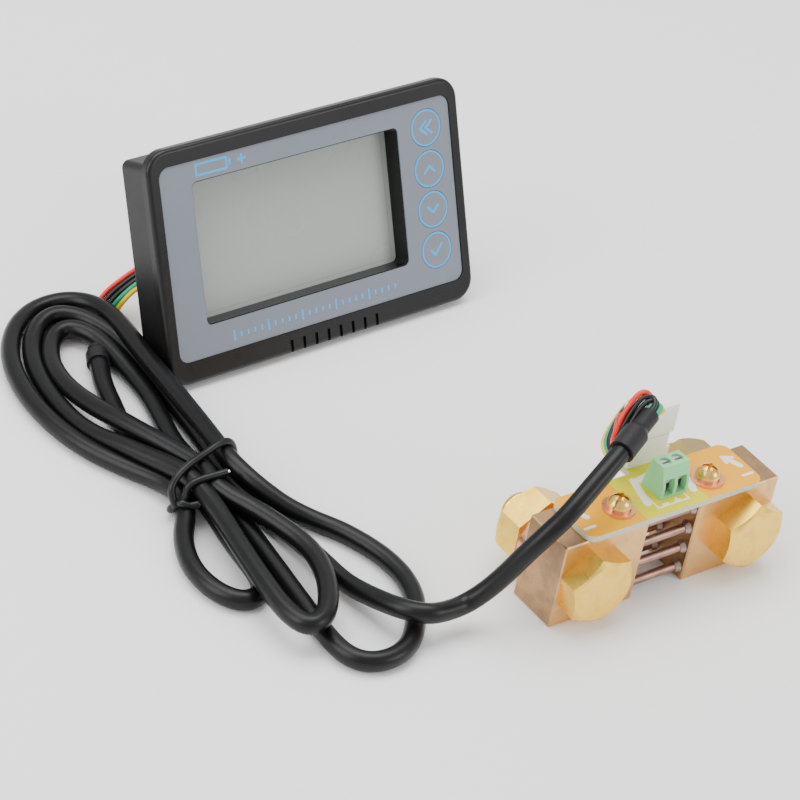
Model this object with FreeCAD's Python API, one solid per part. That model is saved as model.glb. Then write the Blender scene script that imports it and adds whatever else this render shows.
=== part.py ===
import FreeCAD, Part
import math
import os

# Battery monitor: a 350 A class current shunt with a sense board on top, a panel meter,
# and the five-core cable that joins them, laid out together on a table.
# Units are millimetres. +Z is up, +X runs along the shunt, +Y points to the meter.
# The origin is the centre of the left brass block's underside.

V = FreeCAD.Vector

# Shunt
BLOCK_LENGTH = 25.6
BLOCK_WIDTH = 14.2
BLOCK_HEIGHT = 24.4
BLOCK_PITCH = 41.5
ROD_RADIUS = 1.15
ROD_ROWS = 4
ROD_ROW_PITCH = 6.1
ROD_COLUMN_OFFSET = 4.6
ROD_INSERT = 3.0
SOLDER_RADIUS = 1.9
SOLDER_LENGTH = 1.3

# M10 bolt and nut sets
BOLT_OUTSET = 3.25
BOLT_RADIUS = 4.95
STUD_END_RADIUS = 4.6
BOLT_CLEARANCE_RADIUS = 5.25
HEX_FLATS = 17.0
BOLT_HEAD_HEIGHT = 6.0
NUT_HEIGHT = 8.0
NUT_BORE_RADIUS = 5.0
BOLT_END_PROUD = 4.2
FLAT_WASHER = (5.3, 8.9, 1.5)
SPRING_WASHER = (5.2, 8.3, 2.2)

# Sense board on the shunt
BOARD_LENGTH = 54.6
BOARD_FRONT = -8.0
BOARD_BACK = 8.0
BOARD_THICKNESS = 1.6
BOARD_CORNER_RADIUS = 2.6
TAB_BACK = 15.7
BOARD_SCREW_OUTSET = 14.0
BOARD_SCREW_Y = -1.6
SCREW_RADIUS = 1.45
SCREW_HEAD_RADIUS = 3.1
SCREW_HEAD_HEIGHT = 2.5
SCREW_DEPTH = 7.0
SMALL_FLAT_WASHER = (1.65, 4.15, 0.7)
SMALL_SPRING_WASHER = (1.65, 3.1, 0.9)

# Two-pole screw terminal
TERMINAL_X = 22.45
TERMINAL_PITCH = 3.81
TERMINAL_WIDTH = 8.2
TERMINAL_FRONT = -3.4
TERMINAL_BACK = 3.9
TERMINAL_TOP_FRONT = -1.9
TERMINAL_TOP_BACK = 2.3
TERMINAL_HEIGHT = 8.7
CLAMP_SIZE = (2.7, 4.0, 3.4)

# Five-pole plug and header, used at both ends of the cable
POLES = 5
POLE_PITCH = 2.54
PLUG_WIDTH = 12.7
PLUG_DEPTH = 5.8
HEADER_HEIGHT = 3.2
LATCH_HEIGHT = 7.6
PLUG_HEIGHT = 13.0
WIRE_EXIT_DROP = 4.2
PIN_SIZE = 0.64
SHUNT_PLUG_X = 24.8
SHUNT_PLUG_Y = 12.5

# Meter, in its own frame: x to the right, y backwards from the bezel's face, z up its face
METER_CORNER = V(-47.35, 107.3, 1.95)
METER_YAW = 2.41
METER_LEAN = 22.6
BEZEL_WIDTH = 99.8
BEZEL_HEIGHT = 61.8
BEZEL_FLANGE = 3.0
BEZEL_CORNER_RADIUS = 6.0
HOUSING_LEFT = 2.1
HOUSING_RIGHT = 97.7
HOUSING_BOTTOM = 4.4
HOUSING_TOP = 57.8
HOUSING_BACK = 15.5
HOUSING_WALL = 1.8
SKIRT_WALL = 1.4
OVERLAY_BOX = (3.2, 96.6, 5.8, 57.3)
OVERLAY_RECESS = 0.7
OVERLAY_THICKNESS = 0.4
WINDOW_BOX = (13.1, 78.7, 14.2, 51.5)
LCD_BOX = (10.6, 81.2, 11.7, 54.0)
LCD_FRONT = 5.9
LCD_THICKNESS = 2.0
BACKLIGHT_THICKNESS = 2.6
METER_BOARD_FRONT = 11.0
METER_BOARD_THICKNESS = 1.6
KEY_X = 88.5
KEY_HEIGHTS = (49.6, 38.3, 27.1, 15.8)
KEY_NAMES = ("back_key", "up_key", "down_key", "ok_key")
KEY_RADIUS = 5.0
KEY_GAP = 0.15
KEY_TRAVEL_GAP = 0.45
METER_PLUG_X = 19.95
METER_PLUG_Z = 12.9
GROOVE_COUNT = 8
GROOVE_PITCH = 4.03
GROOVE_START = 38.0

# Cable
CABLE_RADIUS = 2.5
WIRE_RADIUS = 0.65
WAIST = (-72.6, -53.8, 62.0, 82.0)
TIE_CENTRE = (-63.2, 70.3)
TIE_TURN = 14.6
TIE_HALF_WIDTH = 11.7
TIE_HEIGHT = 10.8
TIE_RADIUS = 0.75

BOARD_BOTTOM = BLOCK_HEIGHT
BOARD_TOP = BOARD_BOTTOM + BOARD_THICKNESS
SHUNT_MID = BLOCK_PITCH / 2
BOLT_X = (-BOLT_OUTSET, BLOCK_PITCH + BOLT_OUTSET)
BOLT_Z = BLOCK_HEIGHT / 2
BLOCK_FRONT = -BLOCK_WIDTH / 2
BLOCK_BACK = BLOCK_WIDTH / 2
NUT_FACE = BLOCK_BACK + FLAT_WASHER[2] + SPRING_WASHER[2]
BOARD_SCREW_X = (SHUNT_MID - BOARD_SCREW_OUTSET, SHUNT_MID + BOARD_SCREW_OUTSET)
TERMINAL_POLE_X = (TERMINAL_X - TERMINAL_PITCH / 2, TERMINAL_X + TERMINAL_PITCH / 2)

parts = {}


def box(x0, x1, y0, y1, z0, z1):
    return Part.makeBox(x1 - x0, y1 - y0, z1 - z0, V(x0, y0, z0))


def washer(sizes, position, direction):
    inner, outer, thickness = sizes
    ring = Part.makeCylinder(outer, thickness, position, direction)
    return ring.cut(Part.makeCylinder(inner, thickness * 3, position - direction * thickness, direction))


def split_washer(sizes, position, direction, slit_side):
    """A spring washer is a flat ring with one slanted cut."""
    inner, outer, thickness = sizes
    ring = washer(sizes, position, direction)
    slit = Part.makeBox(thickness * 0.4, outer, thickness * 4)
    slit.translate(V(-thickness * 0.2, 0, -thickness * 2))
    slit.rotate(V(0, 0, 0), V(0, 1, 0), 25)
    slit.Placement = FreeCAD.Placement(position + direction * (thickness / 2),
                                       FreeCAD.Rotation(V(0, 0, 1), direction)
                                       * FreeCAD.Rotation(V(0, 0, 1), slit_side)).multiply(slit.Placement)
    return ring.cut(slit)


def hexagon(flats, height, position, direction, turn):
    """A hexagonal prism with both ends' corners turned off at 30 degrees, as on a real nut."""
    corner = flats / math.sqrt(3)
    points = [V(corner * math.cos(math.radians(60 * i + turn)),
                corner * math.sin(math.radians(60 * i + turn)), 0) for i in range(7)]
    prism = Part.Face(Part.makePolygon(points)).extrude(V(0, 0, height))
    drop = (corner - flats / 2 * 0.94) * math.tan(math.radians(30))
    cone_out = Part.makeCone(corner + (height - drop) / math.tan(math.radians(30)), flats / 2 * 0.94,
                             height - drop + drop, V(0, 0, 0), V(0, 0, 1))
    prism = prism.common(cone_out)
    prism.Placement = FreeCAD.Placement(position, FreeCAD.Rotation(V(1, 0, 0), V(0, 0, 0), direction, "ZXY"))
    return prism


def rounded_rectangle(x0, x1, z0, z1, radius, y):
    """A face in the plane y = constant, with round corners."""
    def arc(cx, cz, start):
        angles = [math.radians(start + step) for step in (0, 45, 90)]
        return [V(cx + radius * math.cos(a), y, cz + radius * math.sin(a)) for a in angles]
    corners = [arc(x1 - radius, z0 + radius, -90), arc(x1 - radius, z1 - radius, 0),
               arc(x0 + radius, z1 - radius, 90), arc(x0 + radius, z0 + radius, 180)]
    edges = []
    for index, corner in enumerate(corners):
        edges.append(Part.Arc(*corner).toShape())
        edges.append(Part.LineSegment(corner[2], corners[(index + 1) % 4][0]).toShape())
    return Part.Face(Part.Wire(edges))


def rounded_slab(x0, x1, z0, z1, radius, y0, y1):
    return rounded_rectangle(x0, x1, z0, z1, radius, y0).extrude(V(0, y1 - y0, 0))


def rounded_path(points):
    """Straight runs joined by tangent arcs, each as large as its two runs allow."""
    points = [V(*p) for p in points]
    edges, radii, start = [], [], points[0]
    for before, corner, after in zip(points, points[1:], points[2:]):
        run_in, run_out = corner - before, after - corner
        turn = run_in.getAngle(run_out)
        cut = 0.45 * min(run_in.Length, run_out.Length)
        radii.append(cut / math.tan(turn / 2))
        arc_start = corner - V(run_in).normalize() * cut
        arc_end = corner + V(run_out).normalize() * cut
        inward = (V(run_out).normalize() - V(run_in).normalize()).normalize()
        centre = corner + inward * (radii[-1] / math.cos(turn / 2))
        middle = centre - inward * radii[-1]
        edges.append(Part.LineSegment(start, arc_start).toShape())
        edges.append(Part.Arc(arc_start, middle, arc_end).toShape())
        start = arc_end
    edges.append(Part.LineSegment(start, points[-1]).toShape())
    return Part.Wire(edges), radii


def tube(name, points, radius):
    path, radii = rounded_path(points)
    direction = V(*points[1]) - V(*points[0])
    profile = Part.Wire(Part.Circle(V(*points[0]), direction, radius).toShape())
    solid = path.makePipeShell([profile], True, False)
    expected = math.pi * radius ** 2 * path.Length
    print(f"{name}: length {path.Length:.1f} mm, volume / expected {solid.Volume / expected:.3f}, "
          f"arc radii {', '.join(f'{r:.1f}' for r in radii)}")
    return solid


def in_meter(shape):
    """Move a shape from the meter's own frame to its leaning place on the table."""
    turned = FreeCAD.Rotation(V(0, 0, 1), METER_YAW).multiply(FreeCAD.Rotation(V(1, 0, 0), -METER_LEAN))
    shape = shape.copy()
    shape.Placement = FreeCAD.Placement(METER_CORNER, turned).multiply(shape.Placement)
    return shape


# ---------------------------------------------------------------- shunt

def terminal_block(centre_x, board_screw_x, gap_side):
    half = BLOCK_LENGTH / 2
    block = box(centre_x - half, centre_x + half, BLOCK_FRONT, BLOCK_BACK, 0, BLOCK_HEIGHT)
    edges = [edge for edge in block.Edges if edge.Length > 1]
    block = block.makeChamfer(0.35, edges)
    bolt_x = centre_x - gap_side * BOLT_OUTSET
    block = block.cut(Part.makeCylinder(BOLT_CLEARANCE_RADIUS, BLOCK_WIDTH + 2,
                                        V(bolt_x, BLOCK_FRONT - 1, BOLT_Z), V(0, 1, 0)))
    block = block.cut(Part.makeCylinder(SCREW_RADIUS, SCREW_DEPTH + 1,
                                        V(board_screw_x, BOARD_SCREW_Y, BLOCK_HEIGHT - SCREW_DEPTH)))
    face_x = centre_x + gap_side * half
    for z in rod_heights():
        for y in rod_columns():
            block = block.cut(Part.makeCylinder(ROD_RADIUS, ROD_INSERT, V(face_x, y, z), V(-gap_side, 0, 0)))
    return block


def rod_heights():
    return [BLOCK_HEIGHT / 2 + (row - (ROD_ROWS - 1) / 2) * ROD_ROW_PITCH for row in range(ROD_ROWS)]


def rod_columns():
    return (-ROD_COLUMN_OFFSET, ROD_COLUMN_OFFSET)


def resistance_rods():
    left = BLOCK_LENGTH / 2 - ROD_INSERT
    right = BLOCK_PITCH - BLOCK_LENGTH / 2 + ROD_INSERT
    return Part.makeCompound([Part.makeCylinder(ROD_RADIUS, right - left, V(left, y, z), V(1, 0, 0))
                              for z in rod_heights() for y in rod_columns()])


def solder_fillets():
    """Silver solder drawn up into a small cone round each end of each rod."""
    left_face = BLOCK_LENGTH / 2
    right_face = BLOCK_PITCH - BLOCK_LENGTH / 2
    cones = []
    for z in rod_heights():
        for y in rod_columns():
            for face, side in ((left_face, 1), (right_face, -1)):
                cone = Part.makeCone(SOLDER_RADIUS, ROD_RADIUS + 0.15, SOLDER_LENGTH, V(face, y, z), V(side, 0, 0))
                cones.append(cone.cut(Part.makeCylinder(ROD_RADIUS, 10, V(face - side * 5, y, z), V(side, 0, 0))))
    return Part.makeCompound(cones)


def hex_bolt(x, turn):
    head = hexagon(HEX_FLATS, BOLT_HEAD_HEIGHT, V(x, BLOCK_FRONT, BOLT_Z), V(0, -1, 0), turn)
    free_end = NUT_FACE + NUT_HEIGHT + 0.2
    end = NUT_FACE + NUT_HEIGHT + BOLT_END_PROUD
    along = V(0, 1, 0)
    shank = Part.makeCylinder(BOLT_RADIUS, free_end - BLOCK_FRONT, V(x, BLOCK_FRONT, BOLT_Z), along)
    stud = Part.makeCylinder(STUD_END_RADIUS, end - 0.8 - free_end, V(x, free_end, BOLT_Z), along)
    tip = Part.makeCone(STUD_END_RADIUS, STUD_END_RADIUS - 0.8, 0.8, V(x, end - 0.8, BOLT_Z), along)
    return head.fuse([shank, stud, tip]).removeSplitter()


def hex_nut(x, turn):
    nut = hexagon(HEX_FLATS, NUT_HEIGHT, V(x, NUT_FACE, BOLT_Z), V(0, 1, 0), turn)
    return nut.cut(Part.makeCylinder(NUT_BORE_RADIUS, NUT_HEIGHT + 2, V(x, NUT_FACE - 1, BOLT_Z), V(0, 1, 0)))


# ---------------------------------------------------------------- sense board

def sense_board():
    left = SHUNT_MID - BOARD_LENGTH / 2
    right = SHUNT_MID + BOARD_LENGTH / 2
    board = rounded_slab(left, right, BOARD_FRONT, BOARD_BACK, BOARD_CORNER_RADIUS, 0, BOARD_THICKNESS)
    board.rotate(V(0, 0, 0), V(1, 0, 0), 90)
    board = board.mirror(V(0, 0, 0), V(0, 1, 0))
    board = Part.makeSolid(board.Shells[0])
    low = board.BoundBox
    board.translate(V(0, BOARD_FRONT - low.YMin, BOARD_BOTTOM - low.ZMin))
    tab = box(SHUNT_PLUG_X - PLUG_WIDTH / 2 - 0.3, SHUNT_PLUG_X + PLUG_WIDTH / 2 + 0.3,
              BOARD_BACK - 1, TAB_BACK, BOARD_BOTTOM, BOARD_TOP)
    board = board.fuse(tab).removeSplitter()
    for x in BOARD_SCREW_X:
        board = board.cut(Part.makeCylinder(SCREW_RADIUS + 0.2, 6, V(x, BOARD_SCREW_Y, BOARD_BOTTOM - 2)))
    for x in TERMINAL_POLE_X:
        board = board.cut(Part.makeCylinder(0.55, 6, V(x, 0, BOARD_BOTTOM - 2)))
    for x in pole_positions(SHUNT_PLUG_X):
        board = board.cut(Part.makeCylinder(0.5, 6, V(x, SHUNT_PLUG_Y, BOARD_BOTTOM - 2)))
    return board


def board_screw(x):
    """Pan head with a cross recess, over a spring washer and a flat washer."""
    seat = BOARD_TOP + SMALL_FLAT_WASHER[2] + SMALL_SPRING_WASHER[2]
    shank = Part.makeCylinder(SCREW_RADIUS, seat - BLOCK_HEIGHT + SCREW_DEPTH,
                              V(x, BOARD_SCREW_Y, BLOCK_HEIGHT - SCREW_DEPTH))
    dome_radius = (SCREW_HEAD_RADIUS ** 2 + SCREW_HEAD_HEIGHT ** 2) / (2 * SCREW_HEAD_HEIGHT)
    centre = V(x, BOARD_SCREW_Y, seat + SCREW_HEAD_HEIGHT - dome_radius)
    head = Part.makeSphere(dome_radius, centre).common(
        Part.makeCylinder(SCREW_HEAD_RADIUS, SCREW_HEAD_HEIGHT, V(x, BOARD_SCREW_Y, seat)))
    top = seat + SCREW_HEAD_HEIGHT
    for angle in (35, 125):
        slot = box(-1.9, 1.9, -0.38, 0.38, 0, 3)
        slot.rotate(V(0, 0, 0), V(0, 0, 1), angle)
        slot.translate(V(x, BOARD_SCREW_Y, top - 1.4))
        head = head.cut(slot)
    return head.fuse(shank).removeSplitter()


def small_washers(sizes, height, split):
    rings = []
    for x in BOARD_SCREW_X:
        position = V(x, BOARD_SCREW_Y, height)
        rings.append(split_washer(sizes, position, V(0, 0, 1), 200) if split
                     else washer(sizes, position, V(0, 0, 1)))
    return Part.makeCompound(rings)


def sense_components():
    """Low chips and resistors soldered to the board's underside, over the gap between the blocks."""
    low = BOARD_BOTTOM - 1.0
    pieces = [box(SHUNT_MID - 2.5, SHUNT_MID + 2.5, 1.8, 5.8, low, BOARD_BOTTOM)]
    for y in (-6.2, -3.6):
        for column in (-1, 0, 1):
            x = SHUNT_MID + column * 3.2
            pieces.append(box(x - 1.0, x + 1.0, y - 0.6, y + 0.6, BOARD_BOTTOM - 0.5, BOARD_BOTTOM))
    return Part.makeCompound(pieces)


def terminal_body():
    left = TERMINAL_X - TERMINAL_WIDTH / 2
    z0, z1 = BOARD_TOP, BOARD_TOP + TERMINAL_HEIGHT
    outline = [V(left, TERMINAL_FRONT, z0), V(left, TERMINAL_BACK, z0), V(left, TERMINAL_TOP_BACK, z1),
               V(left, TERMINAL_TOP_FRONT, z1), V(left, TERMINAL_FRONT, z0 + 3.6), V(left, TERMINAL_FRONT, z0)]
    body = Part.Face(Part.makePolygon(outline)).extrude(V(TERMINAL_WIDTH, 0, 0))
    width, depth, height = CLAMP_SIZE
    for x in TERMINAL_POLE_X:
        body = body.cut(box(x - width / 2 - 0.1, x + width / 2 + 0.1, TERMINAL_FRONT - 1, depth / 2 + 0.2,
                            z0 + 0.7, z0 + 0.7 + height + 1.2))
        body = body.cut(Part.makeCylinder(1.45, TERMINAL_HEIGHT, V(x, 0.1, z0 + 5.0)))
        body = body.cut(Part.makeCylinder(0.55, 2, V(x, 0, z0 - 1)))
    return body


def terminal_screw(x):
    """Slotted M2.5 screw whose end presses the clamp's lid."""
    z0 = BOARD_TOP
    screw = Part.makeCylinder(1.05, 2.2, V(x, 0.1, z0 + 4.3)).fuse(
        Part.makeCylinder(1.4, 2.0, V(x, 0.1, z0 + 6.2)))
    return screw.cut(box(x - 2, x + 2, -0.2, 0.4, z0 + 7.4, z0 + 9)).removeSplitter()


def terminal_clamp(x):
    """Square brass cage that the screw lifts to grip a wire."""
    width, depth, height = CLAMP_SIZE
    z0 = BOARD_TOP + 0.8
    cage = box(x - width / 2, x + width / 2, -depth / 2, depth / 2, z0, z0 + height)
    cage = cage.cut(box(x - width / 2 + 0.35, x + width / 2 - 0.35, -depth, depth, z0 + 0.5, z0 + height - 0.6))
    return cage.cut(Part.makeCylinder(1.15, 2, V(x, 0.1, z0 + height - 1)))


def terminal_pins():
    return Part.makeCompound([Part.makeCylinder(0.5, 3.3, V(x, 0, BOARD_BOTTOM - 1.0)).cut(
        box(x - 1, x + 1, -1, 1, BOARD_TOP + 0.7, BOARD_TOP + 9)) for x in TERMINAL_POLE_X])


# ---------------------------------------------------------------- plug and header pairs

def pole_positions(centre_x):
    return [centre_x + (i - (POLES - 1) / 2) * POLE_PITCH for i in range(POLES)]


def header_shape():
    """Friction-lock pin header, standing on z = 0 with its latch wall on the -y side."""
    w, d = PLUG_WIDTH / 2, PLUG_DEPTH / 2
    base = box(-w, w, -d, d, 0, HEADER_HEIGHT)
    latch = box(-w + 1.2, w - 1.2, -d, -d + 0.9, HEADER_HEIGHT, LATCH_HEIGHT)
    body = base.fuse(latch).removeSplitter()
    for x in pole_positions(0):
        body = body.cut(box(x - PIN_SIZE / 2, x + PIN_SIZE / 2, -PIN_SIZE / 2, PIN_SIZE / 2, -1, HEADER_HEIGHT + 1))
    return body


def header_pins_shape():
    half = PIN_SIZE / 2
    return [box(x - half, x + half, -half, half, -BOARD_THICKNESS - 0.4, HEADER_HEIGHT + 7.0)
            for x in pole_positions(0)]


def plug_shape():
    """Crimp-contact plug, open below for the pins, its wires leaving at the back near the top."""
    w, d = PLUG_WIDTH / 2, PLUG_DEPTH / 2
    top = HEADER_HEIGHT + PLUG_HEIGHT
    body = box(-w, w, -d + 1.0, d, HEADER_HEIGHT, top)
    body = body.fuse(box(-w, w, -d, d, LATCH_HEIGHT + 0.2, top)).removeSplitter()
    for x in pole_positions(0):
        body = body.cut(box(x - 0.9, x + 0.9, -0.9, 0.9, HEADER_HEIGHT - 1, top - 1.2))
        body = body.cut(Part.makeCylinder(WIRE_RADIUS + 0.05, d + 1, V(x, 0, top - WIRE_EXIT_DROP), V(0, 1, 0)))
    return body


def contact_shape():
    """Tinned contacts: a spring box round each pin with crimp ears above it."""
    low, high = HEADER_HEIGHT + 0.3, HEADER_HEIGHT + 8.0
    contacts = []
    for x in pole_positions(0):
        shell = box(x - 0.8, x + 0.8, -0.8, 0.8, low, high)
        contacts.append(shell.cut(box(x - 0.5, x + 0.5, -0.5, 0.5, low - 1, high - 0.4)))
    return contacts


def on_shunt(shape):
    shape = shape.copy()
    shape.translate(V(SHUNT_PLUG_X, SHUNT_PLUG_Y, BOARD_TOP))
    return shape


def on_meter(shape):
    """The same connector on the meter's board, pointing out of its back, wires leaving upwards."""
    shape = shape.copy()
    shape.rotate(V(0, 0, 0), V(1, 0, 0), -90)
    shape.rotate(V(0, 0, 0), V(0, 1, 0), 180)
    board_back = METER_BOARD_FRONT + METER_BOARD_THICKNESS
    shape.translate(V(METER_PLUG_X, board_back, METER_PLUG_Z))
    return in_meter(shape)


# ---------------------------------------------------------------- meter

def front_bezel():
    x0, x1, z0, z1 = OVERLAY_BOX
    bezel = rounded_slab(0, BEZEL_WIDTH, 0, BEZEL_HEIGHT, BEZEL_CORNER_RADIUS, 0, BEZEL_FLANGE)
    front = [edge for edge in bezel.Edges if edge.BoundBox.YMax < 0.01]
    bezel = bezel.makeFillet(1.1, front)
    bezel = bezel.cut(rounded_slab(x0, x1, z0, z1, 3.0, -1, OVERLAY_RECESS))
    gap = HOUSING_WALL + 0.1
    skirt = box(HOUSING_LEFT + gap, HOUSING_RIGHT - gap, BEZEL_FLANGE, 8.0, HOUSING_BOTTOM + gap, HOUSING_TOP - gap)
    inner = gap + SKIRT_WALL
    skirt = skirt.cut(box(HOUSING_LEFT + inner, HOUSING_RIGHT - inner, 0, 9, HOUSING_BOTTOM + inner,
                          HOUSING_TOP - inner))
    bezel = bezel.fuse(skirt)
    wx0, wx1, wz0, wz1 = WINDOW_BOX
    sill = box(wx0 - 1.5, wx1 + 1.5, BEZEL_FLANGE - 0.5, LCD_FRONT, wz0 - 1.5, wz1 + 1.5)
    bezel = bezel.fuse(sill).removeSplitter()
    bezel = bezel.cut(rounded_slab(wx0, wx1, wz0, wz1, 1.5, -1, LCD_FRONT + 1))
    for z in KEY_HEIGHTS:
        bezel = bezel.cut(Part.makeCylinder(2.4, 5, V(KEY_X, 0, z), V(0, 1, 0)))
        bezel = bezel.cut(Part.makeCylinder(KEY_RADIUS + KEY_GAP, 0.7,
                                            V(KEY_X, OVERLAY_RECESS - 0.05, z), V(0, 1, 0)))
    for i in range(GROOVE_COUNT):
        x = GROOVE_START + i * GROOVE_PITCH
        bezel = bezel.cut(box(x - 0.45, x + 0.45, -1, 0.7, -1, 3.6))
        bezel = bezel.cut(box(x - 0.45, x + 0.45, -1, BEZEL_FLANGE + 1, -1, 0.6))
    return in_meter(bezel)


def overlay_film():
    x0, x1, z0, z1 = OVERLAY_BOX
    y1 = OVERLAY_RECESS
    film = rounded_slab(x0 + 0.1, x1 - 0.1, z0 + 0.1, z1 - 0.1, 2.9, y1 - OVERLAY_THICKNESS, y1)
    wx0, wx1, wz0, wz1 = WINDOW_BOX
    film = film.cut(rounded_slab(wx0 - 0.3, wx1 + 0.3, wz0 - 0.3, wz1 + 0.3, 1.6, -1, 2))
    for z in KEY_HEIGHTS:
        film = film.cut(Part.makeCylinder(KEY_RADIUS + KEY_GAP, 3, V(KEY_X, -1, z), V(0, 1, 0)))
    return in_meter(film)


def key(z):
    """The film's round key with the post that reaches back to its switch."""
    front = OVERLAY_RECESS - OVERLAY_THICKNESS
    disc = Part.makeCylinder(KEY_RADIUS, OVERLAY_THICKNESS, V(KEY_X, front, z), V(0, 1, 0))
    switch_front = METER_BOARD_FRONT - 4.3
    post = Part.makeCylinder(2.0, switch_front - KEY_TRAVEL_GAP - front, V(KEY_X, front, z), V(0, 1, 0))
    return in_meter(disc.fuse(post).removeSplitter())


def key_switches():
    """Square tact switches with a round button."""
    switches = []
    for z in KEY_HEIGHTS:
        back = METER_BOARD_FRONT
        body = box(KEY_X - 3, KEY_X + 3, back - 3.5, back, z - 3, z + 3)
        switches.append(body.fuse(Part.makeCylinder(1.7, 1.0, V(KEY_X, back - 4.3, z), V(0, 1, 0))))
    return in_meter(Part.makeCompound([s.removeSplitter() for s in switches]))


def lcd_glass():
    x0, x1, z0, z1 = LCD_BOX
    glass = box(x0, x1, LCD_FRONT, LCD_FRONT + LCD_THICKNESS, z0, z1)
    return in_meter(glass)


def backlight():
    x0, x1, z0, z1 = LCD_BOX
    back = LCD_FRONT + LCD_THICKNESS + BACKLIGHT_THICKNESS
    return in_meter(box(x0, x1, LCD_FRONT + LCD_THICKNESS, back, z0, z1))


def meter_board():
    inset = HOUSING_WALL + 0.5
    y0, y1 = METER_BOARD_FRONT, METER_BOARD_FRONT + METER_BOARD_THICKNESS
    board = box(HOUSING_LEFT + inset, HOUSING_RIGHT - inset, y0, y1, HOUSING_BOTTOM + inset, HOUSING_TOP - inset)
    for x in pole_positions(METER_PLUG_X):
        board = board.cut(Part.makeCylinder(0.5, 6, V(x, y0 - 2, METER_PLUG_Z), V(0, 1, 0)))
    for x, z in meter_screw_places():
        board = board.cut(Part.makeCylinder(1.3, 6, V(x, y0 - 2, z), V(0, 1, 0)))
    return in_meter(board)


def meter_screw_places():
    return [(x, z) for x in (6.2, 93.6) for z in (9.6, 52.8)]


def meter_board_screws():
    """Small pan screws through the board into bosses moulded on the rear housing."""
    y = METER_BOARD_FRONT
    screws = []
    for x, z in meter_screw_places():
        head = Part.makeCylinder(1.9, 1.1, V(x, y - 1.1, z), V(0, 1, 0))
        head = head.cut(box(x - 1.5, x + 1.5, y - 1.5, y - 0.6, z - 0.25, z + 0.25))
        screws.append(head.fuse(Part.makeCylinder(1.0, 2.6, V(x, y, z), V(0, 1, 0))).removeSplitter())
    return in_meter(Part.makeCompound(screws))


def meter_chips():
    """Controller, regulator and memory on the back of the meter's board."""
    y0 = METER_BOARD_FRONT + METER_BOARD_THICKNESS
    chips = [box(44, 54, y0, y0 + 0.9, 26, 36), box(64, 69, y0, y0 + 0.8, 29, 33), box(34, 38, y0, y0 + 0.8, 14, 19)]
    return in_meter(Part.makeCompound(chips))


def rear_housing():
    shell = box(HOUSING_LEFT, HOUSING_RIGHT, BEZEL_FLANGE, HOUSING_BACK, HOUSING_BOTTOM, HOUSING_TOP)
    upright = [e for e in shell.Edges if abs(e.BoundBox.YLength - (HOUSING_BACK - BEZEL_FLANGE)) < 0.01]
    shell = shell.makeFillet(2.0, upright)
    back = [e for e in shell.Edges if e.BoundBox.YMin > HOUSING_BACK - 0.01]
    shell = shell.makeFillet(0.8, back)
    wall = HOUSING_WALL
    shell = shell.cut(box(HOUSING_LEFT + wall, HOUSING_RIGHT - wall, BEZEL_FLANGE - 1, HOUSING_BACK - wall,
                          HOUSING_BOTTOM + wall, HOUSING_TOP - wall))
    opening = (METER_PLUG_X - PLUG_WIDTH / 2 - 0.4, METER_PLUG_X + PLUG_WIDTH / 2 + 0.4)
    shell = shell.cut(box(*opening, HOUSING_BACK - 3, HOUSING_BACK + 1,
                          METER_PLUG_Z - PLUG_DEPTH / 2 - 0.4, METER_PLUG_Z + PLUG_DEPTH / 2 + 0.4))
    board_back = METER_BOARD_FRONT + METER_BOARD_THICKNESS
    for x, z in meter_screw_places():
        boss = Part.makeCylinder(2.4, HOUSING_BACK - wall - board_back, V(x, board_back, z), V(0, 1, 0))
        shell = shell.fuse(boss.cut(Part.makeCylinder(1.0, 1.4, V(x, board_back, z), V(0, 1, 0))))
    for x0, x1 in ((20, 36), (62, 80)):
        shell = shell.fuse([snap_clip(x0, x1, HOUSING_TOP, 1), snap_clip(x0, x1, HOUSING_BOTTOM, -1)])
    return in_meter(shell.removeSplitter())


def snap_clip(x0, x1, z, side):
    """Wedge that springs out behind the panel; moulded with the housing."""
    rise = 2.6 if side > 0 else 2.0
    outline = [V(x0, 5.2, z - side * 0.5), V(x0, 5.2, z + side * rise), V(x0, 7.4, z + side * rise),
               V(x0, 13.4, z + side * 0.3), V(x0, 13.4, z - side * 0.5), V(x0, 5.2, z - side * 0.5)]
    return Part.Face(Part.makePolygon(outline)).extrude(V(x1 - x0, 0, 0))


# ---------------------------------------------------------------- cable

def loop_ring(points, half_width, low, high):
    """A flat band following one closed loop of the hank."""
    points = [V(x, y, low) for x, y in points]
    count = len(points)
    sides = []
    for offset in (half_width, -half_width):
        moved = []
        for i, point in enumerate(points):
            along = (points[(i + 1) % count] - points[i - 1]).normalize()
            moved.append(point + V(along.y, -along.x, 0) * offset)
        curve = Part.BSplineCurve()
        curve.interpolate(moved, PeriodicFlag=True)
        sides.append(Part.Face(Part.Wire(curve.toShape())))
    sides.sort(key=lambda face: -face.Area)
    return sides[0].extrude(V(0, 0, high - low)).cut(sides[1].extrude(V(0, 0, high - low)))


LEFT_LOOP = [(-69.0, 74.0), (-75.5, 84.0), (-80.0, 95.0), (-82.0, 107.0), (-82.3, 118.0), (-80.5, 129.0),
             (-76.5, 138.0), (-70.5, 145.5), (-63.0, 150.2), (-56.0, 149.0), (-52.2, 143.0), (-51.0, 134.0),
             (-50.9, 122.0), (-51.3, 108.0), (-53.0, 94.0), (-55.5, 80.0)]
LEFT_INNER_LOOP = [(-64.5, 76.0), (-69.5, 90.0), (-73.8, 104.0), (-74.6, 116.0), (-72.8, 127.0),
                   (-68.6, 136.5), (-62.0, 142.4), (-55.4, 141.6), (-52.6, 134.0), (-52.4, 120.0),
                   (-53.2, 104.0), (-57.0, 87.0)]
SMALL_LOOP = [(-69.0, 66.0), (-76.5, 56.0), (-80.6, 45.5), (-80.2, 36.0), (-76.2, 30.2), (-70.5, 31.0),
              (-68.6, 40.0), (-67.4, 52.0)]
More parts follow.
